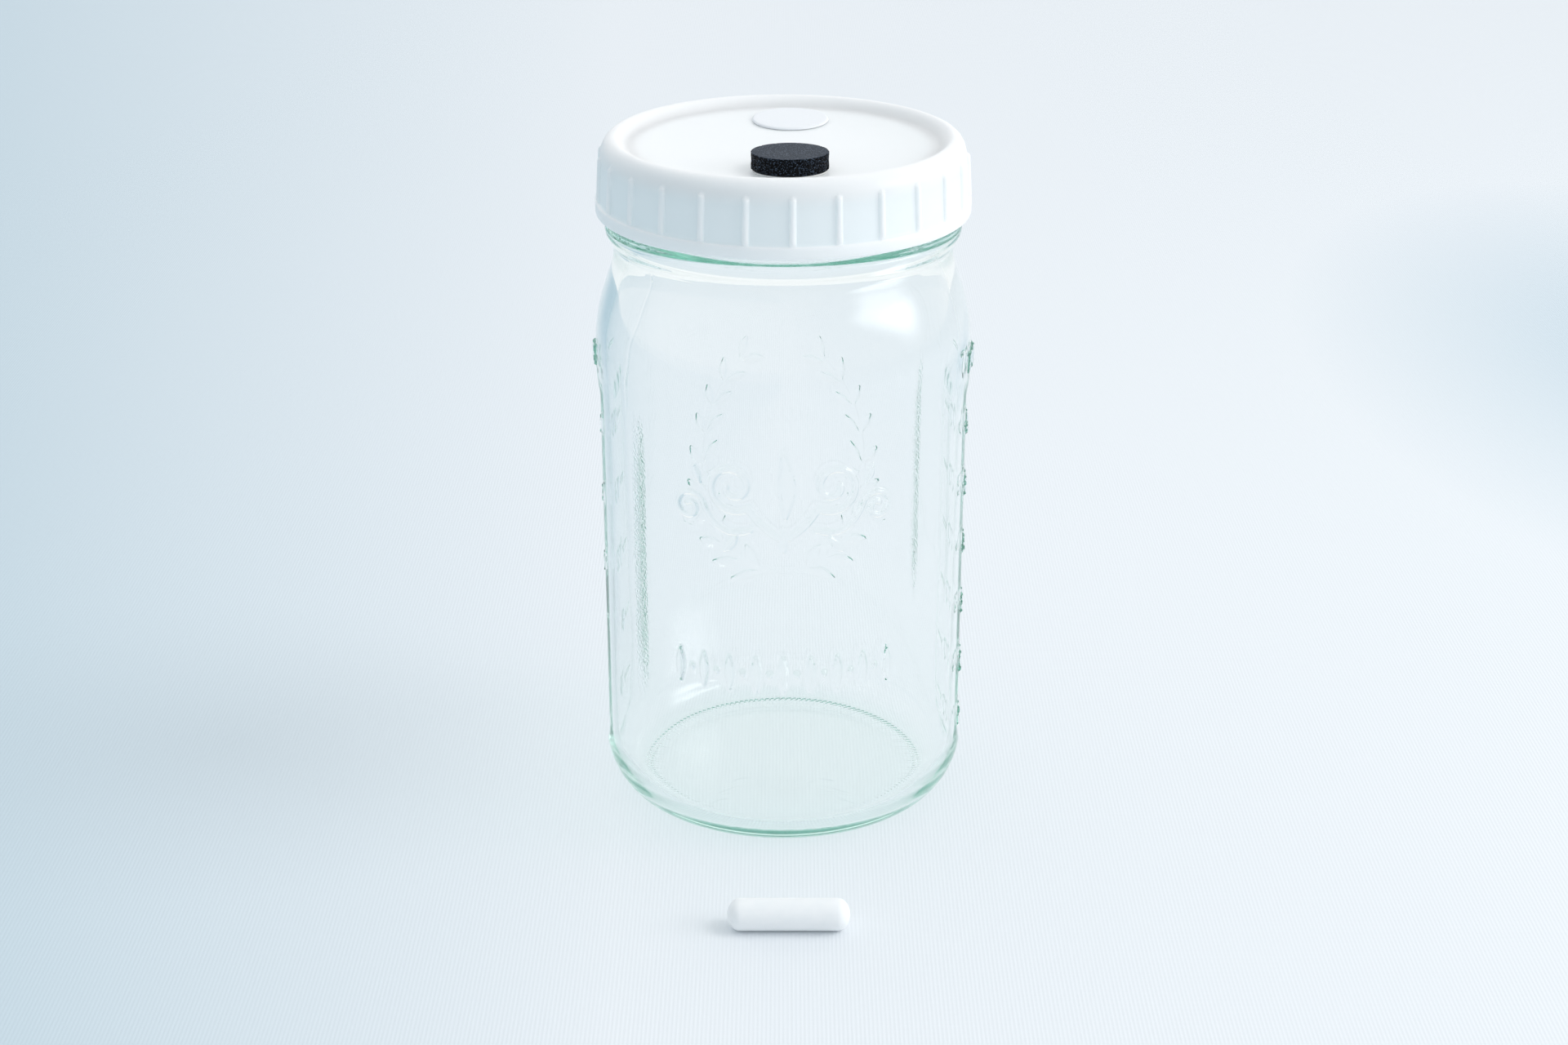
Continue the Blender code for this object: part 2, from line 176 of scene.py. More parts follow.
def axesOf(tree, vector):
    return addNode(tree, "ShaderNodeSeparateXYZ", {"Vector": vector}).outputs


def noiseOf(tree, scale, detail=3.0, roughness=0.5):
    inputs = {"Vector": objectPlace(tree), "Scale": scale, "Detail": detail, "Roughness": roughness}
    return addNode(tree, "ShaderNodeTexNoise", inputs).outputs["Fac"]


def spread(tree, value, low, high, fromLow=0.3, fromHigh=0.7, **settings):
    inputs = {"Value": value, "From Min": fromLow, "From Max": fromHigh, "To Min": low, "To Max": high}
    return addNode(tree, "ShaderNodeMapRange", inputs, **settings).outputs["Result"]


def blendColours(tree, factor, first, second, blend="MIX"):
    # each colour is a tuple or the output of another node
    inputs = {"Factor": factor}
    for socket, colour in (("A", first), ("B", second)):
        inputs[socket] = (*colour, 1) if isinstance(colour, tuple) else colour
    return addNode(tree, "ShaderNodeMix", inputs, data_type="RGBA", blend_type=blend).outputs["Result"]


def addBump(tree, shader, height, strength, distance):
    node = addNode(tree, "ShaderNodeBump", {"Height": height, "Strength": strength, "Distance": distance})
    tree.links.new(node.outputs["Normal"], shader.inputs["Normal"])


def setLook(tree, shader, colour, roughness=None):
    tree.links.new(colour, shader.inputs["Base Color"])
    if roughness:
        tree.links.new(roughness, shader.inputs["Roughness"])


# Camera: fitted to the outlines of the lid, the shoulder and the heel
camera = {
    "place": (0.00016, -0.627, 0.3325),
    "pitchDownDeg": 22.53,
    "lens": 59.2,
    "sensorWidth": 36,
}


def makeCamera():
    data = bpy.data.cameras.new("camera")
    data.lens = camera["lens"]
    data.sensor_width = camera["sensorWidth"]
    item = bpy.data.objects.new("camera", data)
    item.location = camera["place"]
    item.rotation_euler = (math.radians(90 - camera["pitchDownDeg"]), 0, 0)
    bpy.context.collection.objects.link(item)
    bpy.context.scene.camera = item


makeCamera()
print("camera placed")


# Glass jar
glass = {
    "bodyRadius": cadHigh.x,
    "height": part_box("glass_jar")[1].z,
    "finishRadius": 0.0413,
    "finishHeight": 0.0157,
    "finishFillet": 0.0006,
    "filletRise": 0.0009,
    "finishStart": 0.0015,
    "rimRound": 0.0012,
    "beadProud": 0.0035,
    "beadHeight": 0.0036,
    "beadTopRound": 0.0016,
    "beadLow": 0.0019,
    "beadBend": 0.0019,
    "coveHeight": 0.0034,
    "neckProud": 0.0015,
    "neckLength": 0.0016,
    "shoulderHeight": 0.0257,
    "shoulderHandles": (0.0145, 0.0067),
    "shoulderLean": 0.0008,
    "heel": (0.0103, 0.0157),
    "footWidth": 0.0021,
    "baseLift": 0.0006,
    "stippleRing": 0.0367,
    "stippleHalf": 0.0005,
    "stippleCount": 150,
    "stippleTwist": 3000,
    "stippleDepth": 0.00022,
    "bodyWall": 0.0033,
    "finishWall": 0.0033,
    "baseThickness": 0.0046,
    "innerHeel": (0.0072, 0.0120),
    "innerNeckRise": 0.0020,
    "innerWaist": 0.0003,
    "innerBend": 0.0015,
    "innerLag": 0.0016,
    "innerShoulderDrop": 0.0010,
    "innerFlatInset": 0.0018,
    "waviness": 0.00008,
    "columns": 200,
    "rowStep": 0.0018,
    "fineCuts": 4,
}


def jarHeights():
    beadTop = glass["height"] - glass["finishHeight"]
    beadBottom = beadTop - glass["beadHeight"]
    neck = beadBottom - glass["coveHeight"] - glass["neckLength"]
    return beadTop, beadBottom, neck, neck - glass["shoulderHeight"]


def outerProfile():
    # from the middle of the base up to the top of the rim
    g = glass
    beadTop, beadBottom, neck, shoulder = jarHeights()
    body, finish, rim = g["bodyRadius"], g["finishRadius"], g["rimRound"]
    heelWidth, heelHeight = g["heel"]
    footOuter = body - heelWidth
    footInner = footOuter - g["footWidth"]
    beadRadius = finish + g["beadProud"]
    neckRadius = finish + g["neckProud"]
    baseRows = 12
    rows = [(footInner * i / baseRows, g["baseLift"] * (1 - (i / baseRows) ** 2)) for i in range(baseRows)]
    rows += straight((footInner, 0), (footOuter, 0), step=0.0004)
    rows += degArc(footOuter, heelHeight, heelWidth, heelHeight, -90, 0, steps=18)[:-1]
    rows += straight((body, heelHeight), (body, shoulder), g["rowStep"])
    low, high = g["shoulderHandles"]
    rows += bezier(
        (body, shoulder), (body, shoulder + low),
        (neckRadius + g["shoulderLean"], neck - high), (neckRadius, neck), steps=22
    )[:-1]
    coveEnd = neck + g["neckLength"]
    beadStart = beadBottom + g["beadLow"]
    bend = g["beadBend"]
    rows += straight((neckRadius, neck), (neckRadius, coveEnd), step=0.0008)
    rows += bezier(
        (neckRadius, coveEnd), (neckRadius, coveEnd + bend),
        (beadRadius, beadStart - bend), (beadRadius, beadStart), steps=11
    )[:-1]
    topRound = g["beadTopRound"]
    rows += straight((beadRadius, beadStart), (beadRadius, beadTop - topRound), step=0.001)
    rows += degArc(beadRadius - topRound, beadTop - topRound, topRound, topRound, 0, 80, steps=5)
    fillet = g["finishFillet"]
    rows += degArc(finish + fillet, beadTop + g["filletRise"], fillet, fillet, 270, 180, steps=3)
    rows += straight((finish, beadTop + g["finishStart"]), (finish, g["height"] - rim), step=0.00042)
    rows += degArc(finish - rim, g["height"] - rim, rim, rim, 0, 90, steps=5)
    return rows


def innerProfile():
    # from the top of the rim down to the middle of the floor
    g = glass
    _, beadBottom, neck, shoulder = jarHeights()
    rim = g["rimRound"]
    mouth = g["finishRadius"] - g["finishWall"]
    wall = g["bodyRadius"] - g["bodyWall"]
    low, high = g["shoulderHandles"]
    neckIn = neck + g["innerNeckRise"]
    start = shoulder - g["innerShoulderDrop"]
    rows = degArc(mouth + rim, g["height"] - rim, rim, rim, 90, 180, steps=5)[:-1]
    # the wall follows the bead and the neck, so that they bend the view little
    waist = mouth - g["innerWaist"]
    bendStart = beadBottom + g["beadLow"] - g["innerLag"]
    bend = g["innerBend"]
    rows += straight((mouth, g["height"] - rim), (mouth, bendStart), step=0.003)
    rows += bezier(
        (mouth, bendStart), (mouth, bendStart - bend),
        (waist, neckIn + bend), (waist, neckIn), steps=8
    )[:-1]
    rows += bezier(
        (waist, neckIn), (waist + g["shoulderLean"], neckIn - high),
        (wall, start + low), (wall, start), steps=14
    )[:-1]
    heelWidth, heelHeight = g["innerHeel"]
    floor = g["baseThickness"]
    floorRows = 4
    rows += straight((wall, start), (wall, floor + heelHeight), step=0.004)
    rows += degArc(wall - heelWidth, floor + heelHeight, heelWidth, heelHeight, 0, -90, steps=14)
    rows += [((wall - heelWidth) * (1 - i / floorRows), floor) for i in range(1, floorRows + 1)]
    return rows


# Relief on the outside, drawn in metres on the unrolled wall: u to the right seen from outside, v up
relief = {
    "lowest": 0.012,
    "panelInset": 0.0017,
    "panelAboveHeel": 0.0008,
    "panelBelowShoulder": 0.0090,
    "panelRunOut": 0.0060,
    "scaleGap": 0.0012,
    "tickLength": 0.0062,
    "tickHalfWidth": 0.00058,
    "tickProud": 0.0006,
    "digitHeight": 0.0047,
    "digitPitch": 0.82,
    "digitHalfWidth": 0.00054,
    "digitProud": 0.0007,
    "millilitreStart": 0.0214,
    "millilitreStep": 0.0166,
    "ounceStart": 0.0270,
    "ounceStep": 0.0189,
    "wreathCentre": 0.0730,
    "wreathSize": (0.0245, 0.0350),
    "stemHalfWidth": 0.0008,
    "stemProud": 0.00018,
    "leafLength": 0.0088,
    "leafHalfWidth": 0.0020,
    "leafProud": 0.00042,
    "leafBend": 0.35,
    "leafLean": 0.62,
    "scrollCentre": 0.0975,
    "scrollHalfWidth": 0.00105,
    "scrollProud": 0.0007,
    "borderCentre": 0.0510,
    "borderLength": 0.0094,
    "borderStep": 0.0068,
    "borderHalfWidth": 0.0016,
    "dotHalfWidth": 0.0009,
    "borderProud": 0.0008,
}

digitLines = {
    "0": [[(0.3, 0), (0.06, 0.2), (0.06, 0.8), (0.3, 1), (0.54, 0.8), (0.54, 0.2), (0.3, 0)]],
    "1": [[(0.14, 0.8), (0.34, 1), (0.34, 0)]],
    "2": [[(0.05, 0.8), (0.3, 1), (0.54, 0.78), (0.05, 0), (0.56, 0)]],
    "3": [[(0.06, 0.9), (0.3, 1), (0.5, 0.78), (0.28, 0.54), (0.54, 0.26), (0.3, 0), (0.05, 0.1)]],
    "4": [[(0.42, 0), (0.42, 1), (0.03, 0.3), (0.58, 0.3)]],
    "5": [[(0.52, 1), (0.1, 1), (0.07, 0.58), (0.36, 0.62), (0.54, 0.32), (0.3, 0), (0.05, 0.08)]],
    "6": [[(0.46, 1), (0.1, 0.5), (0.06, 0.22), (0.3, 0), (0.54, 0.26), (0.3, 0.52), (0.08, 0.36)]],
    "7": [[(0.04, 1), (0.56, 1), (0.22, 0)]],
    "8": [[(0.3, 0.54), (0.09, 0.77), (0.3, 1), (0.51, 0.77), (0.3, 0.54), (0.05, 0.26), (0.3, 0),
           (0.55, 0.26), (0.3, 0.54)]],
}


def stroke(points, halfWidth, proud, taper=False):
    widths = np.full(len(points), halfWidth)
    if taper:
        along = np.clip(np.linspace(0, 1, len(points)), 0.06, 0.94)
        widths = halfWidth * np.sin(math.pi * along) ** 0.7
    return {"points": np.array(points, float), "widths": widths, "proud": proud}


def numberStrokes(text, left, middle):
    size = relief["digitHeight"]
    strokes = []
    for place, digit in enumerate(text):
        offset = relief["digitPitch"] * place
        for line in digitLines[digit]:
            points = [(left + (x + offset) * size, middle + (y - 0.5) * size) for x, y in line]
            strokes.append(stroke(points, relief["digitHalfWidth"], relief["digitProud"]))
    return strokes


def scaleStrokes(first, step, numbers, ticksOnRight):
    # ticks on one side of the panel's centre and their numbers on the other
    gap, reach = relief["scaleGap"], relief["tickLength"]
    start, end = (gap, gap + reach) if ticksOnRight else (-gap - reach, -gap)
    strokes = []
    for i, number in enumerate(numbers):
        height = first + step * i
        strokes.append(stroke([(start, height), (end, height)], relief["tickHalfWidth"], relief["tickProud"]))
        textWidth = relief["digitPitch"] * relief["digitHeight"] * len(number)
        strokes += numberStrokes(number, -gap - textWidth if ticksOnRight else gap, height)
    return strokes


def leaf(root, angle, length, halfWidth, proud):
    # an almond that bends a little towards its tip
    steps = np.linspace(0, 1, 7)
    bend = angle + relief["leafBend"] * (steps - 0.5)
    run = np.cumsum(np.stack([np.cos(bend), np.sin(bend)], axis=1), axis=0) * length / len(steps)
    return stroke(np.array(root) + run, halfWidth, proud, taper=True)


def wreathStrokes():
    # two leafy branches that rise from the bottom and stop short of each other at the top
    width, tall = relief["wreathSize"]
    strokes = []
    for side in (-1, 1):
        def branchPoint(angle):
            return (side * width * math.sin(angle), relief["wreathCentre"] - tall * math.cos(angle))

        branch = [branchPoint(a) for a in np.linspace(0.10, 2.72, 26)]
        strokes.append(stroke(branch, relief["stemHalfWidth"], relief["stemProud"]))
        for i, angle in enumerate(np.linspace(0.28, 2.62, 10)):
            root = branchPoint(angle)
            ahead = branchPoint(angle + 0.02)
            heading = math.atan2(ahead[1] - root[1], ahead[0] - root[0])
            shrink = 1 - 0.03 * i
            for lean in (-relief["leafLean"], relief["leafLean"]):
                strokes.append(leaf(
                    root, heading + lean, relief["leafLength"] * shrink,
                    relief["leafHalfWidth"] * shrink, relief["leafProud"]))
    return strokes


def spiral(centre, startRadius, endRadius, startAngle, turns, steps):
    t = np.linspace(0, 1, steps)
    radius = startRadius + (endRadius - startRadius) * t
    angle = startAngle + 2 * math.pi * turns * t
    return np.stack([centre[0] + radius * np.cos(angle), centre[1] + radius * np.sin(angle)], axis=1)


def scrollStrokes():
    # a symmetrical spray of scrolls round a pointed centre leaf
    middle = relief["scrollCentre"]
    wide, proud = relief["scrollHalfWidth"], relief["scrollProud"]
    strokes = [
        leaf((0, middle - 0.0065), math.pi / 2, 0.0185, 0.0026, proud),
        stroke([(0, middle - 0.0125), (0, middle - 0.0085)], wide, proud),
    ]
    for side in (-1, 1):
        def mirrored(points):
            return [(side * x, middle + y) for x, y in points]

        curl = spiral((0.0125, 0.0035), 0.0068, 0.0016, -2.2, 1.35, 30)
        tail = bezier((0.0012, -0.0095), (0.0035, -0.0080), (0.0062, -0.0060), tuple(curl[0]), 8)
        strokes.append(stroke(mirrored(tail + curl.tolist()[1:]), wide, proud))
        farCurl = spiral((0.0240, -0.0030), 0.0042, 0.0010, 2.6, -1.25, 24)
        reach = bezier((0.0080, -0.0075), (0.0130, -0.0100), (0.0180, -0.0080), tuple(farCurl[0]), 8)
        strokes.append(stroke(mirrored(reach + farCurl.tolist()[1:]), 0.85 * wide, proud))
        for root, angle, length in (((0.0110, -0.0088), -0.9, 0.0060), ((0.0205, 0.0030), 1.2, 0.0055)):
            item = leaf(root, angle, length, 0.0013, proud)
            item["points"] = np.array(mirrored(item["points"]))
            strokes.append(item)
    return strokes


def borderStrokes():
    # a plain border of upright almonds with a dot between each two
    strokes = []
    middle, half = relief["borderCentre"], relief["borderLength"] / 2
    for i in range(-4, 5):
        u = i * relief["borderStep"]
        upright = [(u, middle + half * s) for s in np.linspace(-1, 1, 9)]
        strokes.append(stroke(upright, relief["borderHalfWidth"], relief["borderProud"], taper=True))
        if i < 4:
            dot = u + relief["borderStep"] / 2
            ends = [(dot, middle - 0.0002), (dot, middle + 0.0002)]
            strokes.append(stroke(ends, relief["dotHalfWidth"], relief["borderProud"]))
    return strokes


def strokeHeights(places, strokes):
    # height of the strokes at each place, the highest where they cross
    heights = np.zeros(len(places))
    for item in strokes:
        points, widths = item["points"], item["widths"]
        reach = widths.max()
        low, high = points.min(axis=0) - reach, points.max(axis=0) + reach
        near = np.where(np.all((places > low) & (places < high), axis=1))[0]
        if not len(near):
            continue
        found = np.zeros(len(near))
        for a, b, widthA, widthB in zip(points, points[1:], widths, widths[1:]):
            run = b - a
            t = np.clip((places[near] - a) @ run / max(run @ run, 1e-14), 0, 1)
            away = np.linalg.norm(places[near] - a - t[:, None] * run, axis=1)
            share = np.clip(away / (widthA + (widthB - widthA) * t), 0, 1)
            found = np.maximum(found, (1 - share ** 2) ** 1.2)
        heights[near] = np.maximum(heights[near], found * item["proud"])
    return heights


def scaleNumbers(first, last, step):
    return [str(n) for n in range(first, last + 1, step)]


def onWall(angle, height, centreDeg):
    # places on the unrolled wall, measured from the line at centreDeg
    u = shortAngle(angle - math.radians(centreDeg)) * glass["bodyRadius"]
    return np.stack([u, height], axis=1)


reliefSets = [
    (-90, scrollStrokes() + borderStrokes()),
    (90, wreathStrokes()),
    (0, scaleStrokes(
        relief["millilitreStart"], relief["millilitreStep"], scaleNumbers(100, 700, 100), True)),
    (180, scaleStrokes(relief["ounceStart"], relief["ounceStep"], scaleNumbers(4, 24, 4), False)),
]

seam = {
    "bodyDeg": -144.5,
    "driftDeg": 6.0,
    "driftHeights": (0.118, 0.147),
    "halfWidth": 0.00035,
    "proud": 0.00005,
    "fadeIn": (0.112, 0.124),
    "fadeOut": (0.150, 0.153),
    "fineReach": 0.0014,
    "fineHeights": (0.111, 0.150),
}

thread = {
    "turns": 1.75,
    "pitch": 0.0051,
    "proud": 0.0012,
    "halfWidth": 0.0013,
    "belowRim": 0.0030,
    "runOut": 0.08,
}


def seamAway(angle, height):
    # distance from the left mould seam: upright on the body, and drifting forward up the shoulder
    drift = np.interp(height, seam["driftHeights"], [0, seam["driftDeg"]])
    return shortAngle(angle - np.radians(seam["bodyDeg"] + drift)) * glass["bodyRadius"]


def ripple(angle, height):
    # slow unevenness of the blown inner wall
    waves = ((2, 31, 0.3), (3, 57, 1.7), (5, 83, 4.1), (7, 140, 2.2), (11, 95, 0.9))
    total = 0
    for count, rate, shift in waves:
        swing = 0.8 * np.sin(rate * 0.6 * height + count)
        total = total + np.sin(count * angle + rate * height + shift + swing) / count
    return total


def outerRelief(angle, height):
    # how far the outer wall stands proud of the turned body, without the flat panels
    total = np.zeros(len(angle))
    for centreDeg, strokes in reliefSets:
        total = np.maximum(total, strokeHeights(onWall(angle, height, centreDeg), strokes))
    wander = 0.00035 * np.sin(230 * height) + 0.0002 * np.sin(610 * height)
    across = (seamAway(angle, height) - wander) / seam["halfWidth"]
    line = np.exp(-(across ** 2)) * seam["proud"] * smoothStep(height, *seam["fadeIn"])
    return total + line * (1 - smoothStep(height, *seam["fadeOut"]))


def panelDepth(angle, height, wall, inset):
    # how far the flat panels on the two sides cut into a round wall
    bottom = glass["heel"][1] + relief["panelAboveHeel"]
    top = jarHeights()[3] - relief["panelBelowShoulder"]
    past = np.maximum(np.maximum(bottom - height, height - top), 0) / relief["panelRunOut"]
    flat = wall - inset * (1 - np.minimum(past, 1))
    return np.maximum(np.abs(np.cos(angle)) * wall - flat, 0)


def threadHeight(angle, height):
    # one-start thread round the finish, with run-outs at both ends
    turns, runOut = thread["turns"], thread["runOut"]
    total = np.zeros(len(angle))
    around = (angle % (2 * math.pi)) / (2 * math.pi)
    for wind in range(-1, 3):
        progress = around + wind
        away = height - (glass["height"] - thread["belowRim"] - thread["pitch"] * progress)
        shown = smoothStep(progress, 0, runOut) * (1 - smoothStep(progress, turns - runOut, turns))
        share = np.clip(np.abs(away) / thread["halfWidth"], 0, 1)
        total = np.maximum(total, thread["proud"] * shown * (1 - share ** 2.5) ** 0.8)
    return total


def refineGlass(builder, rowLayer, outerRows):
    # finer faces where the relief and the seam are, and more columns on the foot ring
    centres = np.array([tuple(face.calc_center_median()) for face in builder.faces])
    rows = np.array([np.mean([v[rowLayer] for v in face.verts]) for face in builder.faces])
    angles = np.arctan2(centres[:, 1], centres[:, 0])
    heights = centres[:, 2]
    margin = glass["rowStep"] * 0.5
    marked = np.zeros(len(centres), bool)
    for centreDeg, strokes in reliefSets:
        wide = [{**item, "widths": item["widths"] + margin, "proud": 1.0} for item in strokes]
        marked |= strokeHeights(onWall(angles, heights, centreDeg), wide) > 0
    low, high = seam["fineHeights"]
    marked |= (np.abs(seamAway(angles, heights)) < seam["fineReach"]) & (heights > low) & (heights < high)
    onOutside = rows < outerRows - 1
    marked &= onOutside & (heights > relief["lowest"])
    builder.faces.ensure_lookup_table()
    builder.edges.index_update()
    edges = {edge for index in np.where(marked)[0] for edge in builder.faces[index].edges}
    reach = np.hypot(centres[:, 0], centres[:, 1])
    onFoot = onOutside & (heights < 0.0006) & (reach > 0.0355)
    for index in np.where(onFoot)[0]:
        for edge in builder.faces[index].edges:
            if edge.verts[0][rowLayer] == edge.verts[1][rowLayer]:
                edges.add(edge)
    ordered = sorted(edges, key=lambda edge: edge.index)
    bmesh.ops.subdivide_edges(builder, edges=ordered, cuts=glass["fineCuts"], use_grid_fill=True)


def glassRise(onOutside, angle, radius, height):
    # how far each point of the turned glass moves along its normal
    g = glass
    beadTop = jarHeights()[0]
    rise = np.zeros(len(radius))
    wall = onOutside & (height > 0.004) & (height < beadTop - 0.001)
    rise[wall] = outerRelief(angle[wall], height[wall])
    rise[wall] -= panelDepth(angle[wall], height[wall], g["bodyRadius"], relief["panelInset"])
    finish = onOutside & (height > beadTop + 0.0012) & (height < g["height"] - 0.0006)
    rise[finish] = threadHeight(angle[finish], height[finish])
    # two rings of fine dots under the foot
    foot = onOutside & (height < 0.0012)
    fromRing = np.abs(np.abs(radius - g["stippleRing"]) - g["stippleHalf"])
    ringShare = np.clip(1 - fromRing / g["stippleHalf"], 0, 1)
    dots = 0.5 + 0.5 * np.sin(g["stippleCount"] * angle + g["stippleTwist"] * radius)
    rise[foot] = (-g["stippleDepth"] * dots * ringShare ** 0.5)[foot]
    inside = ~onOutside & (height < beadTop)
    fade = smoothStep(height, g["baseThickness"], 0.020) * (1 - smoothStep(height, 0.140, 0.152))
    wavy = g["waviness"] * ripple(angle, height) * fade
    flats = panelDepth(angle, height, g["bodyRadius"] - g["bodyWall"], g["innerFlatInset"])
    rise[inside] = (wavy + flats)[inside]
    return rise


def makeGlass():
    outside = outerProfile()
    profile = np.array(outside + innerProfile())
    columns = glass["columns"]
    around = evenAngles(columns)
    builder = bmesh.new()
    layers = [builder.verts.layers.float.new(name) for name in ("row", "cosine", "sine")]
    rings = []
    for row, (radius, height) in enumerate(profile):
        ring = addRing(builder, radius, height, around)
        for vert, a in zip(ring, around):
            for layer, value in zip(layers, (row, math.cos(a), math.sin(a))):
                vert[layer] = value
        rings.append(ring)
    joinRings(builder, rings, columns)
    refineGlass(builder, layers[0], len(outside))
    # every point goes to its exact place on the turned surface, plus the relief
    rowOf, cosine, sine = (np.array([vert[layer] for vert in builder.verts]) for layer in layers)
    angle = np.arctan2(sine, cosine)
    normals = profileNormals(profile)
    index = np.arange(len(profile))
    radius, height = (np.interp(rowOf, index, profile[:, k]) for k in (0, 1))
    normalR, normalZ = (np.interp(rowOf, index, normals[:, k]) for k in (0, 1))
    rise = glassRise(rowOf <= len(outside) - 1, angle, radius, height)
    radius = np.where(radius < onAxis, 0, radius + rise * normalR)
    height = height + rise * normalZ
    for vert, r, a, z in zip(builder.verts, radius, angle, height):
        vert.co = (r * math.cos(a), r * math.sin(a), z)
    return finishMesh("jar_glass", builder, 50)


glassFinish = {
    "absorbed": (0.42, 0.80, 0.70),
    "density": 9.0,
    "shadowTint": (0.988, 0.992, 0.99),
    "seamsDeg": (-139.5, 35.5),
    "seamFade": (0.012, 0.040),
    "speckleTop": (0.100, 0.116),
    "speckleBottom": (0.035, 0.055),
    "speckle": 45.0,
}


def makeGlassMaterial():
    look = glassFinish
    material, tree, shader = newMaterial(
        "bottle_glass", Roughness=0.0, IOR=1.5, Transmission_Weight=1.0, Base_Color=(1, 1, 1, 1))
    place = axesOf(tree, objectPlace(tree))
    around = mathOf(tree, "ARCTAN2", place["Y"], place["X"])
    # a band of fine speckle along each mould seam
    seams = 0.0
    for centreDeg in look["seamsDeg"]:
        away = mathOf(tree, "ABSOLUTE", mathOf(tree, "SUBTRACT", around, math.radians(centreDeg)))
        seams = mathOf(tree, "MAXIMUM", spread(tree, away, 1, 0, *look["seamFade"]), seams)
    upper = spread(tree, place["Z"], 1, 0, *look["speckleTop"])
    lower = spread(tree, place["Z"], 0, 1, *look["speckleBottom"])
    grain = mathOf(tree, "SUBTRACT", noiseOf(tree, 1300, 2.0, 0.7), 0.5)
    speckle = mathOf(tree, "MULTIPLY", grain, mathOf(tree, "MULTIPLY", upper, lower))
    rough = mathOf(tree, "MULTIPLY", mathOf(tree, "MULTIPLY", speckle, seams), look["speckle"])
    addBump(tree, shader, mathOf(tree, "ADD", noiseOf(tree, 120, 1.0), rough), 1.0, 0.000012)
    absorb = addNode(tree, "ShaderNodeVolumeAbsorption", {
        "Color": (*look["absorbed"], 1), "Density": look["density"]})
    output = tree.nodes["Material Output"]
    tree.links.new(absorb.outputs["Volume"], output.inputs["Volume"])
    # light from the lamps and from the pale surroundings passes straight through, so the floor stays bright
    path = addNode(tree, "ShaderNodeLightPath")
    through = addNode(tree, "ShaderNodeBsdfTransparent", {"Color": (*look["shadowTint"], 1)}).outputs["BSDF"]
    surface = shader.outputs["BSDF"]
    for kind in ("Is Shadow Ray", "Is Diffuse Ray"):
        mix = addNode(tree, "ShaderNodeMixShader", {0: path.outputs[kind], 1: surface, 2: through})
        surface = mix.outputs["Shader"]
    tree.links.new(surface, output.inputs["Surface"])
    return material


jarGlass = makeGlass()
jarGlass.data.materials.append(makeGlassMaterial())
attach(jarGlass, "jar")
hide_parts("glass_jar")
print("glass jar made:", len(jarGlass.data.polygons), "faces")


# Lid
lid = {
    "bottom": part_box("lid")[0].z,
    "top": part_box("lid")[1].z,
    "bandRadius": 0.0470,
    "bandHeight": 0.0031,
    "bandBevel": 0.0005,
    "wallRadius": 0.0462,
    "wallDraft": 0.0006,
    "boreRadius": 0.0434,
    "edgeRound": 0.0005,
    "corner": (0.0033, 0.0054),
    "rimStep": (0.0016, 0.0022),
    "rimSlope": 0.0018,
    "panelEdge": 0.0400,
    "panelThickness": 0.0012,
    "dishDepth": 0.0012,
    "ribCount": 26,
    "ribPhaseDeg": 2.7,
    "ribHalfWidth": 0.00092,
    "ribProud": 0.0008,
    "ribTopBelowRim": 0.0038,
    "ringOuter": 0.0372,
    "ringWidth": 0.0010,
    "ringDepth": 0.0012,
    "softEdge": 0.0002,
    "innerCorner": 0.0003,
    "threadShare": 0.35,
    "threadTurn": 2.6,
    "threadDrop": 0.0015,
    "columnsAcrossRib": 13,
    "columnsBetween": 7,
}


def dishHeight(radius):
    flat = lid["top"] - lid["rimStep"][1]
    return flat - lid["dishDepth"] * max(0, 1 - (radius / lid["panelEdge"]) ** 3)


def lidUnderside():
    # from the middle of the panel's underside, over the locating ring, down to the mouth of the bore
    o = lid
    soft, corner = o["softEdge"], o["innerCorner"]
    bore, ringOuter = o["boreRadius"], o["ringOuter"]
    underside = o["top"] - o["rimStep"][1] - o["panelThickness"]
    ringInner = ringOuter - o["ringWidth"]
    ringEnd = underside - o["ringDepth"]
    panelRows = 14
    rows = [(ringInner * i / panelRows, dishHeight(ringInner * i / panelRows) - o["panelThickness"])
            for i in range(panelRows + 1)]
    rows += [(ringInner + soft, ringEnd), (ringOuter - soft, ringEnd), (ringOuter, ringEnd + soft)]
    rows += [(ringOuter, underside - soft / 2), (ringOuter + soft / 2, underside)]
    rows += [(bore - corner, underside), (bore, underside - corner)]
    rows += straight((bore, underside - 2 * corner), (bore, o["bottom"] + 0.0008), step=0.0005)
    rows += [(bore, o["bottom"] + 0.0006), (bore + 0.0005, o["bottom"])]
    return rows


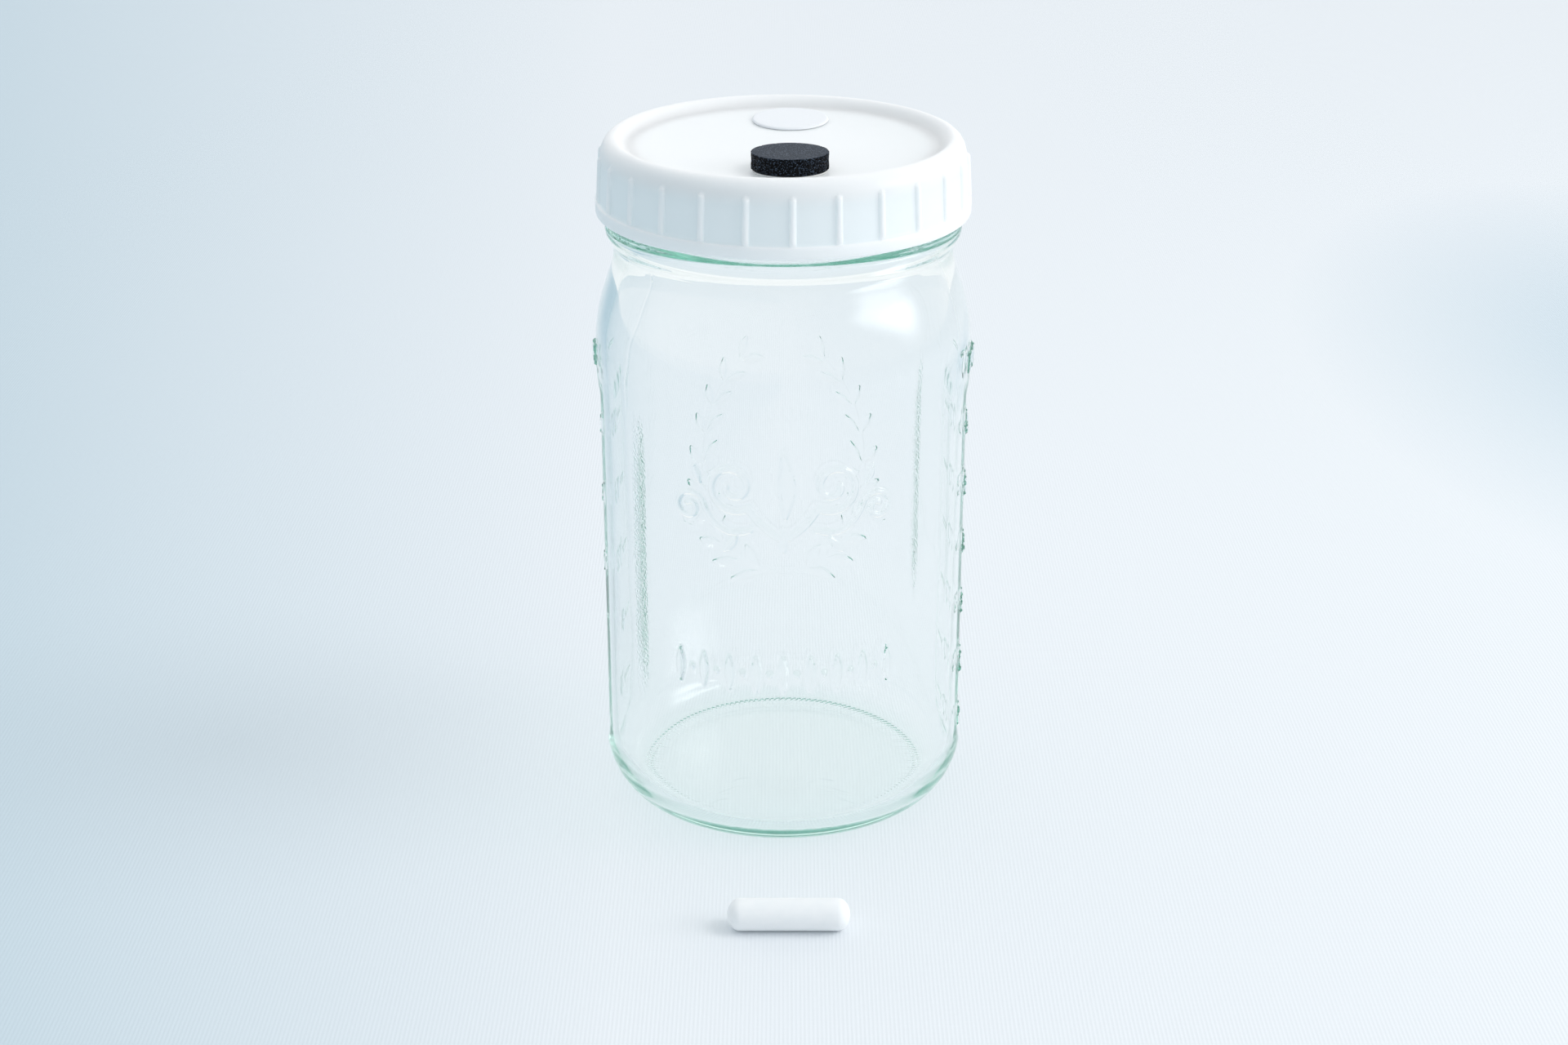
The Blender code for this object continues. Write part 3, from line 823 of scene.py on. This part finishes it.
def lidOutside():
    # from the foot of the band up the wall, over the rim and down to the middle of the dished panel
    o = lid
    edge, soft, wall = o["edgeRound"], o["softEdge"], o["wallRadius"]
    band, bandTop = o["bandRadius"], o["bottom"] + o["bandHeight"]
    rows = degArc(band - edge, o["bottom"] + edge, edge, edge, -90, 0, steps=4)
    rows += straight((band, o["bottom"] + 2 * edge), (band, bandTop - soft), step=0.0006)
    rows += [(band, bandTop - 0.0001), (band - 0.0001, bandTop + 0.00005)]
    foot = bandTop + o["bandBevel"]
    wallTop = wall - o["wallDraft"]
    cornerWidth, cornerHeight = o["corner"]
    cornerStart = o["top"] - cornerHeight
    rows += [(wall + 0.00015, foot - soft)]
    rows += straight((wall, foot), (wallTop, cornerStart), step=0.0006)
    rows += degArc(wallTop - cornerWidth, cornerStart, cornerWidth, cornerHeight, 0, 90, steps=22)
    rimEdge = o["panelEdge"] + o["rimStep"][0]
    stepEnd = o["panelEdge"] - o["rimSlope"]
    rows += bezier(
        (rimEdge + 0.0004, o["top"]), (rimEdge - 0.0007, o["top"] - 0.0001),
        (rimEdge - 0.0018, dishHeight(stepEnd)), (stepEnd, dishHeight(stepEnd)), steps=14)
    panelRows = 22
    for i in range(1, panelRows + 1):
        radius = stepEnd * (1 - i / panelRows)
        rows.append((radius, dishHeight(radius)))
    return rows


def lidAngles():
    # the columns crowd on the ribs, where the wall bends most
    ribArc = 1.25 * lid["ribHalfWidth"] / lid["wallRadius"]
    pitch = 2 * math.pi / lid["ribCount"]
    onRib = np.linspace(-ribArc, ribArc, lid["columnsAcrossRib"])
    between = np.linspace(ribArc, pitch - ribArc, lid["columnsBetween"] + 2)[1:-1]
    oneRib = np.concatenate([onRib, between])
    around = np.concatenate([oneRib + pitch * i for i in range(lid["ribCount"])])
    return around + math.radians(lid["ribPhaseDeg"] - 90)


def ribRise(angle, radius, height):
    # a round-topped rib: a capsule lying on the wall, as proud as the band below it
    bandTop = lid["bottom"] + lid["bandHeight"]
    ribTop = lid["top"] - lid["ribTopBelowRim"]
    half = lid["ribHalfWidth"]
    pitch = 2 * math.pi / lid["ribCount"]
    turned = angle - math.radians(lid["ribPhaseDeg"] - 90)
    across = (((turned / pitch + 0.5) % 1) - 0.5) * pitch * radius
    away = np.hypot(across, max(height - (ribTop - half), 0)) / half
    crown = np.clip(1 - away ** 2.6, 0, 1) ** 0.8
    return crown * min(lid["ribProud"], height - bandTop)


def makeLid():
    around = lidAngles()
    bandTop = lid["bottom"] + lid["bandHeight"]
    builder = bmesh.new()
    rings = []
    for radius, height in lidUnderside() + lidOutside():
        radii = np.full(len(around), radius)
        if radius > lid["wallRadius"] - 0.0035 and height > bandTop:
            radii = radius + ribRise(around, radius, height)
        if abs(radius - lid["boreRadius"]) < 1e-6:
            heights = np.full(len(around), height - lid["threadDrop"])
            radii = radii - lid["threadShare"] * threadHeight(around + lid["threadTurn"], heights)
        rings.append(addRing(builder, radii, height, around))
    joinRings(builder, rings, len(around))
    return finishMesh("lid_shell", builder, 50)


def makeLidMaterial():
    material, tree, shader = newMaterial(
        "polypropylene", Subsurface_Weight=0.85, Subsurface_Scale=0.004, Subsurface_Radius=(1, 1, 1),
        IOR=1.49)
    cloud = noiseOf(tree, 45, 4.0)
    white = blendColours(tree, spread(tree, cloud, 0, 1), (0.925, 0.937, 0.950), (0.945, 0.954, 0.963))
    # painted shade: the thin wall between the ribs is coloured greyer, for the dark inside that shows through
    # it
    place = axesOf(tree, objectPlace(tree))
    flat = addNode(tree, "ShaderNodeCombineXYZ", {"X": place["X"], "Y": place["Y"]})
    reach = vectorMath(tree, "LENGTH", flat.outputs["Vector"])
    wall = lid["wallRadius"]
    onWallPart = spread(tree, reach, 0, 1, wall - 0.0022, wall - 0.0009)
    offRib = spread(tree, reach, 1, 0, wall + 0.0001, wall + 0.0005)
    belowTop = spread(tree, place["Z"], 1, 0, lid["top"] - 0.0062, lid["top"] - 0.0030)
    paintedShadeBetweenRibs = mathOf(tree, "MULTIPLY", mathOf(tree, "MULTIPLY", onWallPart, offRib), belowTop)
    colour = blendColours(tree, paintedShadeBetweenRibs, white, (0.865, 0.905, 0.925))
    setLook(tree, shader, colour, spread(tree, noiseOf(tree, 260, 3.0), 0.30, 0.40))
    addBump(tree, shader, noiseOf(tree, 1400, 2.0), 0.12, 0.0001)
    return material


lidShell = makeLid()
lidShell.data.materials.append(makeLidMaterial())
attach(lidShell, "screw_lid")
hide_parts("lid")
print("lid made:", len(lidShell.data.polygons), "faces")


# Injection port and filter disc, seated on the dished panel
def seatOnDish(piece, place, lift):
    radius = math.hypot(*place)
    slope = 3 * lid["dishDepth"] * radius ** 2 / lid["panelEdge"] ** 3
    normal = Vector((-slope * place[0] / radius, -slope * place[1] / radius, 1)).normalized()
    piece.rotation_mode = "QUATERNION"
    piece.rotation_quaternion = Vector((0, 0, 1)).rotation_difference(normal)
    piece.location = Vector((*place, dishHeight(radius))) + normal * lift


port = {
    "place": (0.0016, -0.0235),
    "radius": 0.0094,
    "thickness": 0.0041,
    "lift": 0.00065,
    "columns": 300,
    "sideRows": 26,
    "topRows": 26,
    "pits": 1500,
    "pitSizes": (0.00013, 0.00028),
    "deepest": 0.00045,
    "waist": 0.00008,
    "edgeRound": 0.00018,
}


def portProfile():
    radius, thickness, edge = port["radius"], port["thickness"], port["edgeRound"]
    inner, topRows = radius - edge, port["topRows"]
    rows = [(0, 0), (inner, 0)]
    rows += degArc(inner, edge, edge, edge, -90, 0, steps=3)[1:]
    rows += straight((radius, 2 * edge), (radius, thickness - edge), thickness / port["sideRows"])
    rows += degArc(inner, thickness - edge, edge, edge, 0, 90, steps=3)
    rows += [(radius * (1 - i / topRows), thickness) for i in range(1, topRows + 1)]
    return rows


def makePort():
    # closed-cell foam punched to a disc: skin on top, and open pits all round its cut side
    o = port
    rng = np.random.default_rng(11)
    builder = turnedBuilder(portProfile(), o["columns"])
    places = np.array([tuple(vert.co) for vert in builder.verts])
    radius = np.hypot(places[:, 0], places[:, 1])
    around = np.arctan2(places[:, 1], places[:, 0])
    onSide = radius > o["radius"] - o["edgeRound"] * 1.01
    upSide = np.clip((places[:, 2] - 0.001) / (o["thickness"] - 0.0016), 0, 1)
    inward = o["waist"] * np.sin(math.pi * upSide) * onSide
    smallest, extra = o["pitSizes"]
    for angle, height, size in zip(
        rng.uniform(-math.pi, math.pi, o["pits"]),
        rng.uniform(0.0001, o["thickness"] - 0.0001, o["pits"]),
        smallest + extra * rng.random(o["pits"]) ** 2.0,
    ):
        across = shortAngle(around - angle) * o["radius"]
        away = np.hypot(across, places[:, 2] - height) / size
        inward += np.where(onSide, np.clip(1 - away ** 2, 0, 1) * size * 0.75, 0)
    inward = np.minimum(inward, o["deepest"])
    for vert, point, distance, deep in zip(builder.verts, places, radius, inward):
        if deep and distance > 1e-6:
            vert.co = (point[0] * (1 - deep / distance), point[1] * (1 - deep / distance), point[2])
    piece = finishMesh("port_disc", builder, 60)
    seatOnDish(piece, o["place"], o["lift"])
    return piece


def makePortMaterial():
    material, tree, shader = newMaterial("foam_rubber", Roughness=0.55, IOR=1.45, Specular_IOR_Level=0.12)
    speck = spread(tree, noiseOf(tree, 3000, 1.0), 0, 1, 0.55, 0.68)
    cutSide = blendColours(tree, speck, (0.0002, 0.0005, 0.0014), (0.055, 0.078, 0.115))
    # painted sheen: the skin on top is coloured lighter than the cut side, for the grazing light it reflects
    skinPaintedSheen = blendColours(tree, speck, (0.018, 0.027, 0.042), (0.110, 0.135, 0.175))
    height = axesOf(tree, objectPlace(tree))["Z"]
    onTop = spread(tree, height, 0, 1, port["thickness"] - 0.0002, port["thickness"] - 0.00005)
    setLook(tree, shader, blendColours(tree, onTop, cutSide, skinPaintedSheen))
    addBump(tree, shader, noiseOf(tree, 2200, 3.0), 0.35, 0.00012)
    return material


injectionPort = makePort()
injectionPort.data.materials.append(makePortMaterial())
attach(injectionPort, "screw_lid")
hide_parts("injection_port")

filterDisc = {
    "place": (0.0018, 0.0263),
    "radius": 0.0098,
    "thickness": 0.00028,
    "lift": 0.00055,
    "pressedEdge": 0.0009,
    "columns": 160,
    "topRows": 20,
}


def makeFilter():
    # a flat pad whose rim is pressed down to the panel
    o = filterDisc
    radius, thickness, edge, topRows = o["radius"], o["thickness"], o["pressedEdge"], o["topRows"]
    profile = [(0, 0), (radius - 0.0001, -0.0003), (radius, -0.0002)]
    profile += bezier(
        (radius - 0.00005, 0), (radius - 0.0002, thickness * 0.8),
        (radius - 0.4 * edge, thickness), (radius - edge, thickness), steps=8)
    profile += [((radius - edge) * (1 - i / topRows), thickness) for i in range(1, topRows + 1)]
    piece = finishMesh("filter_pad", turnedBuilder(profile, o["columns"]), 50)
    seatOnDish(piece, o["place"], o["lift"])
    return piece


def makeFilterMaterial():
    material, tree, shader = newMaterial("membrane_fibre", Roughness=0.85, Sheen_Weight=0.15)
    inputs = {"Vector": objectPlace(tree), "Scale": 900.0, "Distortion": 2.5}
    fibres = addNode(tree, "ShaderNodeTexNoise", inputs).outputs["Fac"]
    setLook(tree, shader, blendColours(tree, fibres, (0.865, 0.885, 0.910), (0.89, 0.905, 0.93)))
    addBump(tree, shader, fibres, 0.3, 0.0001)
    return material


filterPad = makeFilter()
filterPad.data.materials.append(makeFilterMaterial())
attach(filterPad, "screw_lid")
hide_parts("filter_disc")
print("port and filter made")


# Stir bar: one smooth capsule stands for its jacket and plug
bar = {
    "place": (0.0013, -0.0840),
    "length": 0.0300,
    "radius": 0.0040,
    "dome": 0.0032,
    "domeRows": 14,
    "columns": 96,
}


def makeStirBar():
    radius, dome, domeRows = bar["radius"], bar["dome"], bar["domeRows"]
    end = bar["length"] / 2
    profile = [(0, -end)] + degArc(0, -end + dome, radius, dome, -90, 0, domeRows)[1:]
    profile += straight((radius, -end + dome + 0.0008), (radius, end - dome), step=0.0012)
    profile += degArc(0, end - dome, radius, dome, 0, 90, domeRows)[:-1] + [(0, end)]
    piece = finishMesh("stir_bar_shell", turnedBuilder(profile, bar["columns"]), 60)
    piece.rotation_euler = (0, math.pi / 2, 0)
    piece.location = (*bar["place"], radius)
    return piece


def makeBarMaterial():
    material, tree, shader = newMaterial(
        "bar_ptfe", Subsurface_Weight=0.4, Subsurface_Scale=0.002, Subsurface_Radius=(1, 1, 1), IOR=1.38)
    cloud = spread(tree, noiseOf(tree, 300, 3.0), 0, 1)
    colour = blendColours(tree, cloud, (0.90, 0.92, 0.935), (0.93, 0.945, 0.955))
    setLook(tree, shader, colour, spread(tree, noiseOf(tree, 900, 2.0), 0.34, 0.46))
    addBump(tree, shader, noiseOf(tree, 1800, 2.0), 0.08, 0.0001)
    return material


stirBar = makeStirBar()
stirBar.data.materials.append(makeBarMaterial())
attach(stirBar, "stir_bar")
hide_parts("stir_bar_jacket", "stir_bar_plug")
print("stir bar made")


# Finishes of the plain CAD pieces that stay
def dressNode(node, material):
    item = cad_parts[node]
    item.data.materials.clear()
    item.data.materials.append(material)


def makeSiliconeMaterial():
    material, tree, shader = newMaterial(
        "seal_silicone", Roughness=0.4, Subsurface_Weight=0.3, Subsurface_Scale=0.002,
        Subsurface_Radius=(1, 1, 1))
    setLook(tree, shader, blendColours(tree, noiseOf(tree, 200, 2.0), (0.84, 0.86, 0.86), (0.88, 0.90, 0.90)))
    addBump(tree, shader, noiseOf(tree, 1500, 2.0), 0.1, 0.0001)
    return material


def makeTapeMaterial():
    material, tree, shader = newMaterial("clear_tape", Roughness=0.45)
    setLook(tree, shader, blendColours(tree, noiseOf(tree, 400, 2.0), (0.86, 0.86, 0.84), (0.91, 0.91, 0.89)))
    addBump(tree, shader, noiseOf(tree, 1200, 2.0), 0.15, 0.0001)
    return material


def makeMagnetMaterial():
    material, tree, shader = newMaterial("sintered_magnet", Metallic=0.7)
    colour = blendColours(tree, noiseOf(tree, 900, 4.0), (0.10, 0.10, 0.11), (0.16, 0.16, 0.17))
    setLook(tree, shader, colour, spread(tree, noiseOf(tree, 700, 3.0), 0.4, 0.6))
    addBump(tree, shader, noiseOf(tree, 2500, 3.0), 0.3, 0.0001)
    return material


tape = makeTapeMaterial()
dressNode("lid_seal", makeSiliconeMaterial())
dressNode("port_adhesive", tape)
dressNode("filter_adhesive", tape)
dressNode("stir_bar_magnet", makeMagnetMaterial())


# Floor, light and world
stageLook = {
    "floorRadius": 6.0,
    "floorPale": (0.826, 0.856, 0.886),
    "floorShade": (0.455, 0.595, 0.675),
    "cornerShade": (0.77, 0.85, 0.89),
    "fanPointY": -0.765,
    "fanSlants": (-0.39, -0.06),
    "patchPlace": (0.36, 0.34, 0),
    "patchScale": (7.5, 4.2, 0),
    "patchFade": (0.3, 1.15),
    "weavePitch": 0.00098,
    "weftShare": 0.3,
    "weaveBump": 0.18,
    "dimSide": (-0.55, -0.80, 0.05),
    "worldDim": (0.50, 0.575, 0.62),
    "worldBright": (0.97, 0.985, 1.00),
    "seenDim": (0.93, 0.955, 0.97),
    "seenBright": (1.00, 1.01, 1.02),
    "seenWorld": (0.82, 0.89, 0.94),
    "sunStrength": 0.58,
    "sunFrom": (0.85, -0.08, 0.90),
    "sunSpreadDeg": 24,
    "boxPlace": (0.967, -0.31, 0.478),
    "boxAim": (0, 0, 0.13),
    "boxSize": (1.15, 0.74),
    "boxPower": 10.5,
    "boxWedge": 0.42,
    "boxMiddle": 0.26,
    "boxRollDeg": -14,
}


def floorColour(tree, place):
    look = stageLook
    # the shade on the left widens with the distance, like a fan from a point in front
    axes = axesOf(tree, place)
    depth = mathOf(tree, "MAXIMUM", mathOf(tree, "SUBTRACT", axes["Y"], look["fanPointY"]), 0.1)
    ramp = spread(tree, mathOf(tree, "DIVIDE", axes["X"], depth), 0, 1, *look["fanSlants"])
    colour = blendColours(tree, ramp, look["floorShade"], look["floorPale"])
    # a dim patch far out on the right
    aside = vectorMath(tree, "SUBTRACT", place, look["patchPlace"])
    reach = vectorMath(tree, "LENGTH", vectorMath(tree, "MULTIPLY", aside, look["patchScale"]))
    patch = spread(tree, reach, 1, 0, *look["patchFade"])
    return blendColours(tree, patch, colour, look["cornerShade"], blend="MULTIPLY")


def makeFloor():
    builder = bmesh.new()
    bmesh.ops.create_circle(builder, cap_ends=True, segments=96, radius=stageLook["floorRadius"])
    floor = finishMesh("floor", builder)
    material, tree, shader = newMaterial("woven_floor", Roughness=0.8)
    place = objectPlace(tree)
    setLook(tree, shader, floorColour(tree, place))
    axes = axesOf(tree, place)
    turnsPerMetre = 2 * math.pi / stageLook["weavePitch"]
    warp = mathOf(tree, "SINE", mathOf(tree, "MULTIPLY", axes["X"], turnsPerMetre))
    weft = mathOf(tree, "SINE", mathOf(tree, "MULTIPLY", axes["Y"], turnsPerMetre * 0.5))
    faint = mathOf(tree, "MULTIPLY", weft, stageLook["weftShare"])
    addBump(tree, shader, mathOf(tree, "ADD", warp, faint), stageLook["weaveBump"], 0.0001)
    floor.data.materials.append(material)


def addLight(name, light, place, aim):
    item = bpy.data.objects.new(name, light)
    item.location = place
    item.rotation_euler = (Vector(place) - Vector(aim)).to_track_quat("Z", "Y").to_euler()
    bpy.context.collection.objects.link(item)
    return item


def makeSun():
    sun = bpy.data.lights.new("sun", "SUN")
    sun.energy = stageLook["sunStrength"]
    sun.angle = math.radians(stageLook["sunSpreadDeg"])
    item = addLight("sun", sun, stageLook["sunFrom"], (0, 0, 0))
    item.visible_glossy = False
    item.visible_transmission = False


def makeSoftbox():
    # its strength fades like a soft wedge, so that its mirror image in the shoulder is a rounded triangle
    look = stageLook
    box = bpy.data.lights.new("softbox", "AREA")
    box.shape = "RECTANGLE"
    box.size, box.size_y = look["boxSize"]
    box.energy = look["boxPower"]
    box.use_nodes = True
    tree = box.node_tree
    place = axesOf(tree, addNode(tree, "ShaderNodeNewGeometry").outputs["Parametric"])
    along = mathOf(tree, "SUBTRACT", place["X"], 0.5)
    across = mathOf(tree, "ABSOLUTE", mathOf(tree, "SUBTRACT", place["Y"], 0.5))
    opening = mathOf(tree, "ADD", mathOf(tree, "MULTIPLY", along, look["boxWedge"]), look["boxMiddle"])
    soft = {"interpolation_type": "SMOOTHSTEP"}
    wedge = spread(tree, mathOf(tree, "DIVIDE", across, opening), 1.3, 0, 0, 1, **soft)
    ends = spread(tree, mathOf(tree, "ABSOLUTE", along), 1, 0, 0.12, 0.5, **soft)
    tree.links.new(mathOf(tree, "MULTIPLY", wedge, ends), tree.nodes["Emission"].inputs["Strength"])
    item = addLight("softbox", box, look["boxPlace"], look["boxAim"])
    item.rotation_euler.rotate_axis("Z", math.radians(look["boxRollDeg"]))


def makeWorld():
    # dimmer on one side; the eye and the glass see paler tones than those that light the scene
    look = stageLook
    world = bpy.data.worlds.new("world")
    bpy.context.scene.world = world
    world.use_nodes = True
    tree = world.node_tree
    place = addNode(tree, "ShaderNodeTexCoord").outputs["Generated"]
    shade = spread(tree, vectorMath(tree, "DOT_PRODUCT", place, look["dimSide"]), 1, 0, -0.2, 0.85)
    lighting = blendColours(tree, shade, look["worldDim"], look["worldBright"])
    mirrored = blendColours(tree, shade, look["seenDim"], look["seenBright"])
    path = addNode(tree, "ShaderNodeLightPath").outputs
    sharp = mathOf(tree, "MAXIMUM", path["Is Glossy Ray"], path["Is Transmission Ray"])
    through = blendColours(tree, sharp, lighting, mirrored)
    seen = blendColours(tree, path["Is Camera Ray"], through, look["seenWorld"])
    tree.links.new(seen, tree.nodes["Background"].inputs["Color"])


makeFloor()
makeSun()
makeSoftbox()
makeWorld()
scene = bpy.context.scene
scene.view_settings.view_transform = "Standard"
scene.cycles.max_bounces = 64
scene.cycles.transmission_bounces = 64
scene.cycles.glossy_bounces = 64
scene.cycles.transparent_max_bounces = 32
print("floor, lights and world made")
